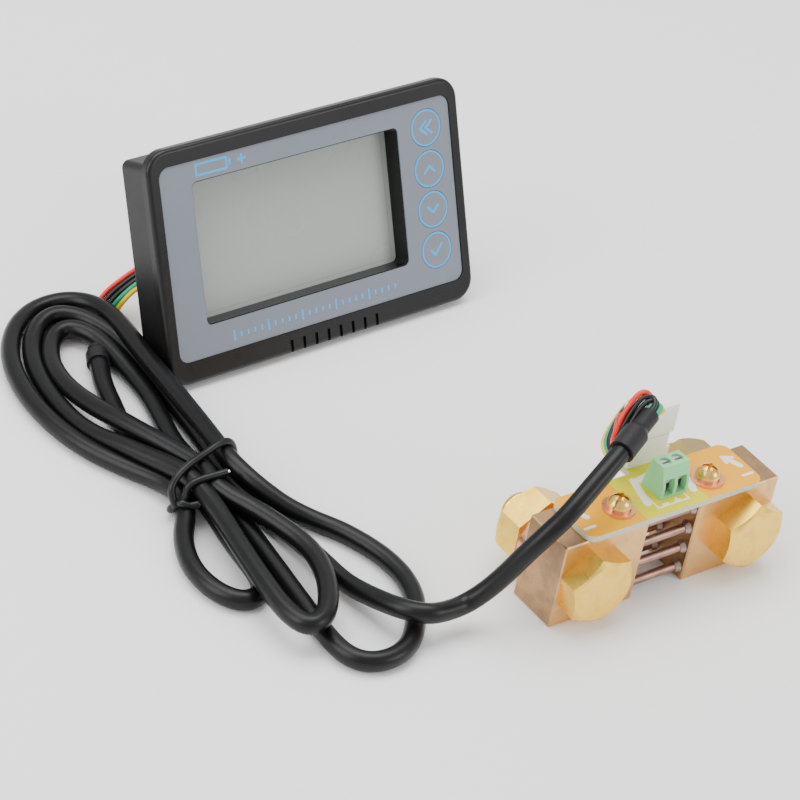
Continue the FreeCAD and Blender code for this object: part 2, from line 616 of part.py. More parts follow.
MIDDLE_LOOP = [(-66.0, 63.0), (-60.8, 56.5), (-58.0, 49.0), (-55.6, 39.5), (-55.8, 30.5), (-59.2, 21.0),
               (-65.0, 13.8), (-70.4, 12.2), (-72.4, 18.0), (-72.0, 29.0), (-70.2, 43.0), (-69.0, 57.0)]
LONG_LOOP = [(-56.0, 72.0), (-51.4, 64.5), (-46.8, 54.0), (-40.6, 43.5), (-37.0, 33.0), (-36.0, 26.0),
             (-36.4, 19.0), (-39.4, 11.8), (-45.0, 4.2), (-50.0, 0.6), (-55.4, -1.2), (-60.6, 0.0),
             (-64.0, 4.4), (-64.8, 12.0), (-63.6, 25.0), (-61.6, 40.0), (-59.8, 56.0)]


def cable_hank():
    """The outer shape of the tied loops: long turns to the left, three of different sizes to the right."""
    layer = 2 * CABLE_RADIUS
    wide = CABLE_RADIUS + 0.2
    rings = [loop_ring(LEFT_LOOP, wide, 0, layer + 2.0), loop_ring(LEFT_INNER_LOOP, 3.4, 0, 2 * layer),
             loop_ring(SMALL_LOOP, wide, 0, layer), loop_ring(MIDDLE_LOOP, wide, layer + 0.3, 2 * layer),
             loop_ring(LONG_LOOP, wide, 0, layer)]
    waist = box(*WAIST, 0, 2 * layer)
    waist = waist.makeFillet(2.0, [e for e in waist.Edges if e.BoundBox.ZLength > 5])
    hank = waist.fuse(rings)
    groove = box(-TIE_HALF_WIDTH - 2, TIE_HALF_WIDTH + 2, -1.1, 1.1, -1, 2 * TIE_RADIUS + 0.4)
    tunnel = box(-62.0, -43.0, 125.0, 154.0, -1, 3.4)
    collar_gap = Part.makeCylinder(4.6, 14, COLLAR_END - V(2.4, 5.0, 0), V(5.6, 11.6, 0))
    return hank.cut([at_tie(groove), tunnel, collar_gap]).removeSplitter()


def at_tie(shape):
    shape = shape.copy()
    shape.rotate(V(0, 0, 0), V(0, 0, 1), TIE_TURN)
    shape.translate(V(*TIE_CENTRE, 0))
    return shape


def twist_tie():
    """Wire tie wrapped once round the waist of the hank, its ends twisted together and bent over."""
    half, r = TIE_HALF_WIDTH, TIE_RADIUS
    top = TIE_HEIGHT + 2 * r
    outer = rounded_slab(-half, half, 0.1, top, 2.6, -r, r)
    inner = rounded_slab(-half + 2 * r, half - 2 * r, 0.1 + 2 * r, top - 2 * r, 1.1, -r - 1, r + 1)
    loop = outer.cut(inner)
    tail = Part.makeCylinder(r, 9.0, V(-half + 3.0, 0, top - r), V(0.30, -0.95, 0.0))
    return at_tie(loop.fuse(tail).removeSplitter())


SLEEVE_START = V(6.35, 1.5, 41.0)
SLEEVE_NOSE = V(19.15, 7.2, 44.0)
COLLAR_NOSE = V(-57.2, 129.4, 3.1)
COLLAR_END = V(-60.0, 123.6, 3.1)
SHUNT_ROUTE = [(-56.0, 62.0, 2.6), (-53.0, 50.0, 2.6), (-51.0, 36.0, 2.7), (-50.9, 23.5, 3.6),
               (-48.8, 13.2, 6.2), (-46.6, 6.2, 8.4), (-42.4, 2.6, 8.5), (-37.0, 2.3, 7.2), (-31.6, 2.5, 7.6),
               (-28.0, 0.9, 11.2), (-24.8, -1.0, 16.4), (-21.8, -2.7, 22.2), (-18.2, -4.2, 27.6),
               (-12.8, -4.6, 32.4), (-5.2, -2.6, 36.6), (3.67, 0.31, 40.37), (10.81, 3.49, 42.05)]
METER_ROUTE = [(-58.7, 126.3, 3.1), (-60.9, 121.6, 3.1), (-63.5, 114.6, 2.7), (-65.2, 107.6, 2.6),
               (-67.1, 101.0, 2.6), (-69.6, 95.4, 2.6)]


def shrink_sleeve(start, nose, wide, narrow, wide_part, jacket):
    """Heat-shrink tube: wide over the jacket, then drawn down on to the bare cores."""
    axis = V(nose - start).normalize()
    length = (nose - start).Length
    cut = length * wide_part
    neck = min(1.6, length - cut - 0.5)
    body = Part.makeCylinder(wide, cut, start, axis)
    shoulder = Part.makeCone(wide, narrow, neck, start + axis * cut, axis)
    tip = Part.makeCylinder(narrow, length - cut - neck, start + axis * (cut + neck), axis)
    return body.fuse([shoulder, tip]).removeSplitter().cut(jacket)


def ring_place(degrees, across, radius=1.2):
    """Where one core sits in a sleeve's nose, as an offset from the nose's centre."""
    angle = math.radians(degrees)
    return across * (radius * math.cos(angle)) + V(0, 0, radius * math.sin(angle))


def shunt_wire_route(i):
    """From the plug's back, low round its end, up behind the cable and folded over the sleeve's nose."""
    k = i - 2
    x = pole_positions(SHUNT_PLUG_X)[i]
    y = SHUNT_PLUG_Y + PLUG_DEPTH / 2
    z = BOARD_TOP + HEADER_HEIGHT + PLUG_HEIGHT - WIRE_EXIT_DROP
    place = V(0, *((1.4, -0.4), (0, 1.4), (0, 0), (-1.4, 0.1), (-0.1, -1.4))[i])
    side = V(0.55, -0.98, -0.75) * k
    return [V(x, y + 0.02, z), V(x - 0.2, y + 1.9 + 1.4 * i, z - 0.4),
            V(18.8 + 0.4 * k, 19.8 + 1.0 * k, 31.8 - 0.6 * k), V(14.6 - 0.6 * k, 16.2 + 0.6 * k, 30.2 - 0.9 * k),
            V(12.4 - 0.4 * k, 10.4 - 1.2 * k, 31.2 - 0.8 * k), V(11.9, 8.7, 37.2) + side,
            V(15.6, 9.9, 42.6) + side, V(20.2, 10.9, 46.6) + side, V(23.6, 9.4, 46.0) + side,
            SLEEVE_NOSE + place + V(1.6, 0.7, 0.4), SLEEVE_NOSE + place]


def meter_wire_route(i):
    """From the plug's upper side behind the meter, down and under the turns to the collar inside them."""
    k = i - 2
    x = METER_PLUG_X - pole_positions(0)[i]
    depth = METER_BOARD_FRONT + METER_BOARD_THICKNESS + HEADER_HEIGHT + PLUG_HEIGHT - WIRE_EXIT_DROP
    top = METER_PLUG_Z + PLUG_DEPTH / 2
    place = ring_place((90, 162, 18, 234, 306)[i], V(0.9, -0.43, 0))
    start = in_meter(Part.Vertex(x, depth, top + 0.02)).Point
    above = in_meter(Part.Vertex(x, depth + 0.3, top + 4.0 + 1.5 * (POLES - 1 - i))).Point
    return [start, above, V(-35.4, 141.6, 14.0) - V(1.3, 0.5, 1.75) * k, V(-40.4, 143.4, 9.4) - V(0.45, 1.3, 0.55) * k,
            V(-43.8, 145.2, 4.2) - V(-0.4, 1.3, 0.5) * k, V(-47.2, 143.2, 1.1) - V(-1.15, 0.85, 0) * k,
            V(-51.8, 137.2, 0.9) - V(-1.15, 0.75, 0) * k,
            V(-55.2, 132.4, 1.9) - V(-0.75, 0.5, 0) * k + place * 0.35, COLLAR_NOSE + place]


WIRE_NAMES = ("red", "black", "bare_black", "green", "yellow")


def build_shunt():
    back = V(0, 1, 0)
    parts["left_block"] = terminal_block(0, BOARD_SCREW_X[0], 1)
    parts["right_block"] = terminal_block(BLOCK_PITCH, BOARD_SCREW_X[1], -1)
    parts["resistance_rods"] = resistance_rods()
    parts["solder_fillets"] = solder_fillets()
    parts["left_bolt"] = hex_bolt(BOLT_X[0], 41)
    parts["right_bolt"] = hex_bolt(BOLT_X[1], 30)
    parts["left_nut"] = hex_nut(BOLT_X[0], 30)
    parts["right_nut"] = hex_nut(BOLT_X[1], 18)
    parts["flat_washers_m10"] = Part.makeCompound(
        [washer(FLAT_WASHER, V(x, BLOCK_BACK, BOLT_Z), back) for x in BOLT_X])
    for side, x in zip(("left", "right"), BOLT_X):
        parts[f"{side}_spring_washer"] = split_washer(
            SPRING_WASHER, V(x, BLOCK_BACK + FLAT_WASHER[2], BOLT_Z), back, 40)
    parts["sense_board"] = sense_board()
    parts["sense_components"] = sense_components()
    parts["board_flat_washers"] = small_washers(SMALL_FLAT_WASHER, BOARD_TOP, False)
    parts["board_spring_washers"] = small_washers(SMALL_SPRING_WASHER, BOARD_TOP + SMALL_FLAT_WASHER[2], True)
    parts["board_screws"] = Part.makeCompound([board_screw(x) for x in BOARD_SCREW_X])
    parts["terminal_body"] = terminal_body()
    parts["terminal_pins"] = terminal_pins()
    for side, x in zip(("left", "right"), TERMINAL_POLE_X):
        parts[f"terminal_screw_{side}"] = terminal_screw(x)
        parts[f"terminal_clamp_{side}"] = terminal_clamp(x)


def build_connectors():
    for place, move in (("shunt", on_shunt), ("meter", on_meter)):
        parts[f"{place}_header"] = move(header_shape())
        parts[f"{place}_header_pins"] = move(Part.makeCompound(header_pins_shape()))
        parts[f"{place}_plug"] = move(plug_shape())
        parts[f"{place}_plug_contacts"] = move(Part.makeCompound(contact_shape()))


def build_meter():
    parts["front_bezel"] = front_bezel()
    parts["rear_housing"] = rear_housing()
    parts["overlay_film"] = overlay_film()
    for name, z in zip(KEY_NAMES, KEY_HEIGHTS):
        parts[name] = key(z)
    parts["key_switches"] = key_switches()
    parts["lcd_glass"] = lcd_glass()
    parts["lcd_backlight"] = backlight()
    parts["meter_board"] = meter_board()
    parts["meter_board_screws"] = meter_board_screws()
    parts["meter_chips"] = meter_chips()


def build_cable():
    parts["cable_hank"] = cable_hank()
    parts["twist_tie"] = twist_tie()
    parts["cable_to_shunt"] = tube("cable_to_shunt", SHUNT_ROUTE, CABLE_RADIUS)
    parts["cable_to_meter"] = tube("cable_to_meter", METER_ROUTE, CABLE_RADIUS)
    parts["shunt_sleeve"] = shrink_sleeve(SLEEVE_START, SLEEVE_NOSE, 3.2, 2.3, 0.5, parts["cable_to_shunt"])
    parts["meter_sleeve"] = shrink_sleeve(COLLAR_END, COLLAR_NOSE, 3.0, 2.3, 0.6, parts["cable_to_meter"])
    for i, name in enumerate(WIRE_NAMES):
        parts[f"shunt_wire_{name}"] = tube(f"shunt_wire_{name}", shunt_wire_route(i), WIRE_RADIUS)
        parts[f"meter_wire_{name}"] = tube(f"meter_wire_{name}", meter_wire_route(i), WIRE_RADIUS)


os.makedirs("parts", exist_ok=True)
build_shunt()
build_connectors()
build_meter()
build_cable()
for node, shape in parts.items():
    shape.exportStep(f"parts/{node}.step")
    bounds = shape.BoundBox
    print(f"{node}: {len(shape.Solids)} solids, valid {shape.isValid()}, volume {shape.Volume:.1f}, "
          f"z {bounds.ZMin:.2f} to {bounds.ZMax:.2f}")
print(f"{len(parts)} nodes")
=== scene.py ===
import math

import bpy
from mathutils import Euler, Matrix, Vector


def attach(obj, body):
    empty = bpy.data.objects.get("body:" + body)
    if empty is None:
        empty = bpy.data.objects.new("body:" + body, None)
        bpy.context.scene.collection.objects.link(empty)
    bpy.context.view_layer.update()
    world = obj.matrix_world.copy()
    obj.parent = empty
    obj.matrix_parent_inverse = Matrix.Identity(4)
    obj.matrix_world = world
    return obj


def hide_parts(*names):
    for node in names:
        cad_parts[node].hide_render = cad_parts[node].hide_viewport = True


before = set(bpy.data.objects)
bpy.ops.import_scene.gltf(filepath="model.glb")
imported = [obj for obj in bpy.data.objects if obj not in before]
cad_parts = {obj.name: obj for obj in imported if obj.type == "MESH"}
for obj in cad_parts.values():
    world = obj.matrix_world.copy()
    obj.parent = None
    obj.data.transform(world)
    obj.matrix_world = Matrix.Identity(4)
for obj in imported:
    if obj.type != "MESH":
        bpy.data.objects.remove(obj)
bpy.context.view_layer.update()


# Viewpoint and light. A long lens from the front left and above, a white surround, one large
# soft panel overhead, one at the left and a weak one from the front right.

LENS_LENGTH = 135
SENSOR_WIDTH = 36
CAMERA_PLACE = Vector((-414.15, -389.9, 454.0)) / 1000
CAMERA_RIGHT = Vector((0.80635, -0.57115, 0.15360))
CAMERA_UP = Vector((0.23977, 0.55309, 0.79787))
CAMERA_BACK = Vector((-0.54066, -0.60653, 0.58293))
camera = bpy.data.objects.new("camera", bpy.data.cameras.new("camera"))
camera.data.lens = LENS_LENGTH
camera.data.sensor_width = SENSOR_WIDTH
camera.data.clip_start = 0.05
camera_turn = Matrix((CAMERA_RIGHT, CAMERA_UP, CAMERA_BACK)).transposed().to_quaternion()
camera.matrix_world = Matrix.LocRotScale(CAMERA_PLACE, camera_turn, None)
bpy.context.collection.objects.link(camera)
bpy.context.scene.camera = camera

world = bpy.data.worlds.new("studio")
world.use_nodes = True
world.node_tree.nodes["Background"].inputs["Color"].default_value = (1.0, 1.0, 1.0, 1)
world.node_tree.nodes["Background"].inputs["Strength"].default_value = 0.95
bpy.context.scene.world = world


def soft_light(name, place, aim, size, power):
    light = bpy.data.objects.new(name, bpy.data.lights.new(name, "AREA"))
    light.data.shape = "RECTANGLE"
    light.data.size, light.data.size_y = size
    light.data.energy = power
    light.location = place
    light.rotation_euler = (Vector(aim) - Vector(place)).to_track_quat("-Z", "Y").to_euler()
    bpy.context.collection.objects.link(light)


soft_light("overhead_panel", (0.05, 0.25, 0.9), (0, 0.05, 0), (0.9, 0.6), 9)
soft_light("left_panel", (-0.75, 0.15, 0.5), (0, 0.05, 0.02), (0.5, 0.7), 5)
soft_light("front_panel", (0.55, -0.7, 0.45), (0, 0.05, 0.02), (0.5, 0.4), 3)


# Table top: one plain square of matt white board, 8 m wide, under everything. Its finish is the
# first, so the two classes that all finishes share come here: a Value wraps one socket, so that
# masks and tints are written as sums, and a Finish is one material.

TABLE_HALF_WIDTH = 4


class Value:
    def __init__(self, finish, socket):
        self.finish = finish
        self.socket = socket

    def maths(self, operation, *values):
        return self.finish.node("ShaderNodeMath", {"operation": operation}, *values)

    def __add__(self, other):
        return self.maths("ADD", self, other)

    def __sub__(self, other):
        return self.maths("SUBTRACT", self, other)

    def __rsub__(self, other):
        return self.maths("SUBTRACT", other, self)

    def __mul__(self, other):
        return self.maths("MULTIPLY", self, other)

    def __truediv__(self, other):
        return self.maths("DIVIDE", self, other)

    def __pow__(self, other):
        return self.maths("POWER", self, other)

    def __abs__(self):
        return self.maths("ABSOLUTE", self)

    __radd__ = __add__
    __rmul__ = __mul__

    def at_least(self, other):
        return self.maths("MAXIMUM", self, other)

    def at_most(self, other):
        return self.maths("MINIMUM", self, other)

    def limited(self):
        return self.finish.node("ShaderNodeClamp", {}, self)


class Finish:
    """One material. Its constants are set on the shader's own sockets."""

    def __init__(self, name, **constants):
        self.material = bpy.data.materials.new(name)
        self.material.use_nodes = True
        self.tree = self.material.node_tree
        self.shader = self.tree.nodes["Principled BSDF"]
        for key, value in constants.items():
            socket = self.shader.inputs[key.replace("_", " ").title().replace("Ior", "IOR")]
            socket.default_value = (*value, 1) if isinstance(value, tuple) else value

    def node(self, kind, settings, *values, output=0, **named):
        """Any other node: its settings, then what goes into its sockets, by place or by name."""
        node = self.tree.nodes.new(kind)
        for key, value in settings.items():
            setattr(node, key, value)
        titled = [(key.replace("_", " ").title(), value) for key, value in named.items()]
        for place, value in [*enumerate(values), *titled]:
            if isinstance(value, Value):
                self.tree.links.new(value.socket, node.inputs[place])
            else:
                node.inputs[place].default_value = value
        return Value(self, node.outputs[output])

    def feed(self, **values):
        for key, value in values.items():
            self.tree.links.new(value.socket, self.shader.inputs[key.replace("_", " ").title()])

    def position(self):
        """Where on the object, in millimetres."""
        place = self.node("ShaderNodeTexCoord", {}, output=3)
        return self.node("ShaderNodeVectorMath", {"operation": "SCALE"}, place, scale=1000.0)

    def stretched(self, vector, factors):
        return self.node("ShaderNodeVectorMath", {"operation": "MULTIPLY"}, vector, factors)

    def axes(self, vector):
        split = self.tree.nodes.new("ShaderNodeSeparateXYZ")
        self.tree.links.new(vector.socket, split.inputs[0])
        return [Value(self, output) for output in split.outputs]

    def noise(self, vector, scale, detail=3.0, roughness=0.55):
        return self.node("ShaderNodeTexNoise", {}, vector, scale=scale, detail=detail, roughness=roughness)

    def mix(self, factor, first, second):
        colours = [(*c, 1) if isinstance(c, tuple) else c for c in (first, second)]
        node = self.tree.nodes.new("ShaderNodeMix")
        node.data_type = "RGBA"
        for place, value in ((0, factor), (6, colours[0]), (7, colours[1])):
            if isinstance(value, Value):
                self.tree.links.new(value.socket, node.inputs[place])
            else:
                node.inputs[place].default_value = value
        return Value(self, node.outputs[2])

    def bump(self, height, depth_mm, strength=1.0):
        """A relief whose full height is depth_mm."""
        return self.node("ShaderNodeBump", {}, strength=strength, distance=depth_mm / 1000, height=height)


table = bpy.data.objects.new("table_top", bpy.data.meshes.new("table_top"))
table_corners = [(x * TABLE_HALF_WIDTH, y * TABLE_HALF_WIDTH, 0)
                 for x, y in ((-1, -1), (1, -1), (1, 1), (-1, 1))]
table.data.from_pydata(table_corners, [], [(0, 1, 2, 3)])
bpy.context.collection.objects.link(table)
table_white = Finish("table_white", base_color=(0.93, 0.93, 0.93), roughness=0.75)
table.data.materials.append(table_white.material)


# Screened cable, 5 mm across, black satin jacket. It is one length: out of the collar behind the
# meter, through three turns each side of the tie, then over to the sleeve on the shunt.

CABLE_DIAMETER = 0.005
cable_route = [
    (-58.7, 126.3, 3.3), (-60.9, 121.6, 3.1), (-63.5, 114.6, 2.7), (-65.2, 107.6, 2.55), (-67.1, 101.0, 2.55),
    (-68.9, 94.5, 2.55), (-69.2, 87.5, 2.6), (-67.9, 79.5, 3.2), (-64.9, 70.1, 4.1), (-65.4, 61.0, 3.4),
    (-66.8, 50.0, 2.6), (-67.4, 42.0, 2.55), (-68.2, 35.0, 2.55), (-70.6, 30.2, 2.55), (-76.4, 29.4, 2.55),
    (-80.5, 35.8, 2.55), (-81.0, 45.3, 2.55), (-77.4, 55.1, 2.6), (-71.6, 62.4, 3.2), (-69.7, 69.1, 4.1),
    (-70.8, 75.6, 3.4), (-74.6, 83.3, 2.6), (-79.8, 93.4, 2.55), (-82.8, 104.7, 2.55), (-83.4, 117.6, 2.55),
    (-81.4, 129.1, 2.55), (-77.8, 138.2, 2.55), (-71.9, 146.2, 2.55), (-63.9, 151.5, 2.6),
    (-55.6, 151.9, 3.2),
    (-50.2, 147.6, 4.5), (-47.9, 140.5, 5.6), (-48.5, 131.5, 6.6), (-50.0, 121.0, 7.3), (-51.0, 110.0, 7.6),
    (-51.8, 99.0, 7.6), (-53.0, 86.0, 8.0), (-55.2, 72.0, 9.1), (-54.4, 65.0, 8.2), (-52.0, 59.0, 6.4),
    (-48.6, 53.4, 4.2), (-44.2, 48.0, 2.7), (-39.9, 41.6, 2.55), (-36.9, 33.2, 2.55), (-35.7, 26.4, 2.55),
    (-36.0, 19.2, 2.55), (-38.9, 11.6, 2.55), (-44.8, 3.9, 2.55), (-49.8, -0.3, 2.55), (-55.6, -2.0, 2.55),
    (-61.3, -0.9, 2.55), (-64.6, 3.2, 2.55), (-65.2, 10.4, 2.55), (-63.7, 24.5, 2.55), (-62.2, 38.0, 2.55),
    (-60.6, 53.5, 2.7), (-60.1, 62.0, 3.3), (-60.0, 71.0, 4.1), (-59.8, 80.2, 3.2), (-59.3, 88.3, 2.6),
    (-57.0, 97.6, 2.55), (-54.9, 106.5, 2.55), (-54.2, 116.0, 2.7), (-54.4, 126.0, 3.7), (-56.0, 134.8, 4.4),
    (-60.0, 139.8, 4.0), (-65.2, 138.4, 3.0), (-69.8, 131.5, 3.1), (-72.4, 124.0, 3.7), (-73.3, 115.0, 4.7),
    (-72.4, 105.5, 5.9), (-70.3, 96.5, 7.3), (-67.9, 88.0, 7.9), (-65.0, 79.5, 8.2), (-62.4, 70.6, 8.5),
    (-63.6, 64.8, 8.4), (-62.2, 59.2, 8.0), (-59.4, 53.0, 7.9), (-57.0, 45.0, 7.9), (-55.2, 37.0, 7.9),
    (-55.6, 29.5, 7.9), (-58.9, 20.8, 7.9), (-64.8, 12.6, 7.9), (-71.0, 10.5, 7.8), (-73.0, 17.0, 7.7),
    (-72.0, 28.4, 7.8), (-69.9, 42.4, 7.8), (-67.7, 55.0, 7.8), (-67.0, 62.5, 8.0), (-67.5, 69.6, 8.5),
    (-69.0, 75.8, 7.7), (-71.2, 82.0, 6.6), (-73.4, 88.6, 5.6), (-76.2, 97.0, 3.6), (-77.7, 106.0, 2.6),
    (-77.8, 116.0, 2.55), (-76.2, 127.0, 2.55), (-72.4, 136.8, 2.6), (-67.0, 143.4, 3.4), (-60.8, 145.8, 4.4),
    (-55.4, 142.8, 4.4), (-51.6, 135.8, 4.2), (-49.6, 126.5, 3.4), (-49.2, 116.0, 2.6), (-50.1, 104.0, 2.55),
    (-51.5, 91.0, 2.6), (-53.2, 80.5, 3.2), (-55.0, 72.2, 4.1), (-54.9, 63.5, 3.2), (-53.9, 55.0, 2.6),
    (-52.0, 46.0, 2.55), (-50.9, 36.0, 2.55), (-50.7, 24.5, 3.0), (-49.2, 14.6, 5.4), (-47.4, 6.4, 7.9),
    (-43.2, 2.0, 8.3), (-37.0, 2.2, 7.1), (-31.6, 2.6, 7.0), (-28.0, 0.9, 10.8), (-24.8, -1.0, 16.2),
    (-21.8, -2.7, 22.2), (-18.2, -4.4, 28.0), (-12.8, -4.8, 32.8), (-5.2, -2.6, 36.8), (3.67, 0.31, 40.37),
    (10.81, 3.49, 42.05),
]


def cord_curve(name, points, diameter):
    """One open spline through a route given in millimetres."""
    data = bpy.data.curves.new(name, "CURVE")
    data.dimensions = "3D"
    data.bevel_depth = diameter / 2
    data.bevel_resolution = 6
    data.resolution_u = 10
    spline = data.splines.new("NURBS")
    spline.points.add(len(points) - 1)
    for point, place in zip(spline.points, points):
        point.co = (*(Vector(place) / 1000), 1)
    spline.order_u = 3
    spline.use_endpoint_u = True
    data.use_fill_caps = True
    curve = bpy.data.objects.new(name, data)
    bpy.context.collection.objects.link(curve)
    return curve


cable = cord_curve("cable", cable_route, CABLE_DIAMETER)
jacket = Finish("satin_jacket", base_color=(0.004, 0.004, 0.0045), specular_ior_level=0.26)
place = jacket.position()
jacket.feed(roughness=0.26 + 0.16 * jacket.noise(place, 0.35),
            normal=jacket.bump(jacket.noise(place, 1.6, 4.0), 0.05, 0.5))
cable.data.materials.append(jacket.material)
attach(cable, "shunt_and_meter")
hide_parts("cable_hank", "cable_to_shunt", "cable_to_meter")


# Wire tie round the waist of the turns: steel wire in a black plastic coat. Its ends cross at the
# left side, the longer one folds back over the turns, and both are cut off bright.

TIE_DIAMETER = 1.9
TIE_CORE_DIAMETER = 0.9
TIE_BARE_END = 0.7
TIE_MIDDLE = Vector((-62.6, 70.5, 0))
TIE_ACROSS = Vector((0.975, 0.222, 0))
TIE_ALONG = Vector((-0.222, 0.975, 0))


def tie_point(across, height, along):
    return TIE_MIDDLE + TIE_ACROSS * across + TIE_ALONG * along + Vector((0, 0, height))


band = [tie_point(*p) for p in (
    (-12.2, 4.6, -3.6), (-12.4, 6.8, -2.0), (-11.6, 9.0, -0.8), (-8.4, 11.0, 0.0), (-3.6, 11.7, 0.6),
    (1.6, 11.8, 1.0), (6.4, 12.5, 1.2), (9.6, 11.9, 1.0), (11.2, 9.4, 0.6), (11.6, 6.0, 0.2),
    (10.8, 2.4, 0.0), (8.0, 1.0, 0.0), (0.0, 0.97, 0.0), (-8.0, 0.97, -0.4), (-11.4, 1.6, -1.2),
    (-12.6, 3.6, -2.4), (-11.6, 5.4, -3.6))]
long_end = [tie_point(*p) for p in (
    (-12.2, 4.6, -3.6), (-10.8, 5.4, -4.4), (-9.6, 7.2, -4.2), (-9.4, 9.2, -3.8), (-8.0, 10.4, -4.2),
    (-5.6, 11.0, -5.0), (-2.6, 11.2, -6.0), (0.8, 11.3, -7.0))]
short_end = [tie_point(*p) for p in (
    (-11.6, 5.4, -3.6), (-11.9, 6.6, -4.6), (-11.4, 6.2, -5.8), (-10.0, 5.8, -6.6), (-8.4, 6.4, -7.6))]
tie_coat = Finish("tie_coat", base_color=(0.005, 0.005, 0.006), roughness=0.32, specular_ior_level=0.32)
tie_coat.feed(normal=tie_coat.bump(tie_coat.noise(tie_coat.position(), 1.2), 0.06, 0.6))
tie_pieces = []
for name, points in (("tie_band", band), ("tie_long_end", long_end), ("tie_short_end", short_end)):
    wire = cord_curve(name, points, TIE_DIAMETER / 1000)
    wire.data.materials.append(tie_coat.material)
    tie_pieces.append(wire)
tie_steel = Finish("tie_steel", base_color=(0.75, 0.76, 0.78), roughness=0.2, metallic=1.0)
for name, points in (("tie_long_tip", long_end), ("tie_short_tip", short_end)):
    end, before = points[-1], points[-2]
    step = (end - before).normalized() * TIE_BARE_END
    tip = cord_curve(name, [end - step, end, end + step], TIE_CORE_DIAMETER / 1000)
    tip.data.materials.append(tie_steel.material)
    tie_pieces.append(tip)
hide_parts("twist_tie")
for piece in tie_pieces:
    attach(piece, "shunt_and_meter")


# Ten cores, 1.3 mm across, coloured PVC: five from each plug into the nose of a heat-shrunk
# sleeve. On the shunt they double back over the nose; at the meter they dive under the turns.

CORE_DIAMETER = 1.3
CORE_PITCH = 2.54
CORES = 5
MIDDLE_CORE = 2
SHUNT_PLUG_X = 24.8
METER_PLUG_X = 19.95
core_colours = {"red": (0.80, 0.02, 0.012), "black": (0.008, 0.008, 0.009),
                "bare_black": (0.011, 0.011, 0.012), "green": (0.01, 0.33, 0.17),
                "yellow": (0.85, 0.55, 0.005)}
SLEEVE_NOSE = Vector((19.15, 7.2, 44.0))
COLLAR_NOSE = Vector((-57.2, 129.4, 3.1))
METER_CORNER = Vector((-47.35, 107.3, 1.95))
METER_TURN = Euler((math.radians(-22.6), 0, math.radians(2.41)))


def shunt_core_route(i):
    """From the plug's back, low round its end, up behind the cable and folded over the sleeve's nose."""
    k = i - MIDDLE_CORE
    x = SHUNT_PLUG_X + k * CORE_PITCH
    place = Vector((0, *((1.4, -0.4), (0, 1.4), (0, 0), (-1.4, 0.1), (-0.1, -1.4))[i]))
    side = Vector((0.55, -0.98, -0.75)) * k
    return [Vector((x, 15.42, 38.0)), Vector((x - 0.2, 17.3 + 1.4 * i, 37.6)),
            Vector((20.4 + 0.4 * k, 19.4 + 0.9 * k, 31.2 - 0.6 * k)),
            Vector((16.9 - 0.5 * k, 16.4 + 0.6 * k, 29.2 - 0.6 * k)),
            Vector((13.8 - 0.4 * k, 10.2 - 1.2 * k, 30.6 - 0.7 * k)), Vector((13.2, 8.6, 36.4)) + side,
            Vector((15.9, 9.6, 41.8)) + side, Vector((20.2, 10.5, 46.0)) + side,
            Vector((22.9, 9.2, 45.6)) + side,
            SLEEVE_NOSE + place + Vector((1.6, 0.7, 0.4)), SLEEVE_NOSE + place]


def on_meter(x, depth, height):
    """A point of the meter's own frame: right along its face, back from it, up it."""
    point = Vector((x, depth, height))
    point.rotate(METER_TURN)
    return METER_CORNER + point


def ring_place(degrees, across, radius=1.2):
    """Where one core sits in the collar's nose, as an offset from the nose's centre."""
    angle = math.radians(degrees)
    return across * (radius * math.cos(angle)) + Vector((0, 0, radius * math.sin(angle)))


def meter_core_route(i):
    """From the plug's upper side, down and under the turns to the collar; the cores lie side by side."""
    k = i - MIDDLE_CORE
    x = METER_PLUG_X - k * CORE_PITCH
    place = ring_place((90, 162, 18, 234, 306)[i], Vector((0.9, -0.43, 0)))
    middles = ((-35.4, 141.6, 14.0), (-40.4, 143.4, 9.4), (-43.8, 145.2, 4.2), (-47.2, 143.2, 1.1),
               (-51.8, 137.2, 0.9), (-55.2, 132.4, 1.9))
    offsets = ((1.3, 0.5, 1.75), (0.45, 1.3, 0.55), (-0.4, 1.3, 0.5), (-1.15, 0.85, 0),
               (-1.15, 0.75, 0), (-0.75, 0.5, 0))
    route = [on_meter(x, 24.6, 15.82), on_meter(x, 24.9, 19.8 + 1.5 * (CORES - 1 - i))]
    route += [Vector(middle) - Vector(offset) * k for middle, offset in zip(middles, offsets)]
    route[-1] += place * 0.35
    return route + [COLLAR_NOSE + place]


cores = []
for i, (colour, tint) in enumerate(core_colours.items()):
    insulation = Finish(f"core_{colour}", base_color=tint, roughness=0.38, specular_ior_level=0.45)
    insulation.feed(normal=insulation.bump(insulation.noise(insulation.position(), 2.0), 0.02, 0.4))
    for end, route in (("shunt", shunt_core_route(i)), ("meter", meter_core_route(i))):
        core = cord_curve(f"{end}_core_{colour}", route, CORE_DIAMETER / 1000)
        core.data.materials.append(insulation.material)
        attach(core, "shunt_and_meter")
        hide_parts(f"{end}_wire_{colour}")
        cores.append((core, route))


def route_length(curve):
    """Length along a cord's own spline, in metres."""
    bare = curve.data.copy()
    bare.bevel_depth = 0
    probe = bpy.data.objects.new("probe", bare)
    line = [v.co.copy() for v in bpy.data.meshes.new_from_object(probe).vertices]
    bpy.data.objects.remove(probe)
    return sum((b - a).length for a, b in zip(line, line[1:]))


route_length(cable)
for core, route in cores:
    route_length(core)


# Heat-shrunk sleeves over the cable's two ends: rubbery black tube, finely wrinkled where it has
# shrunk from the jacket down to the cores.


def give(finish, *nodes):
    for name in nodes:
        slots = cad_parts[name].data.materials
        slots.clear()
        slots.append(finish.material)


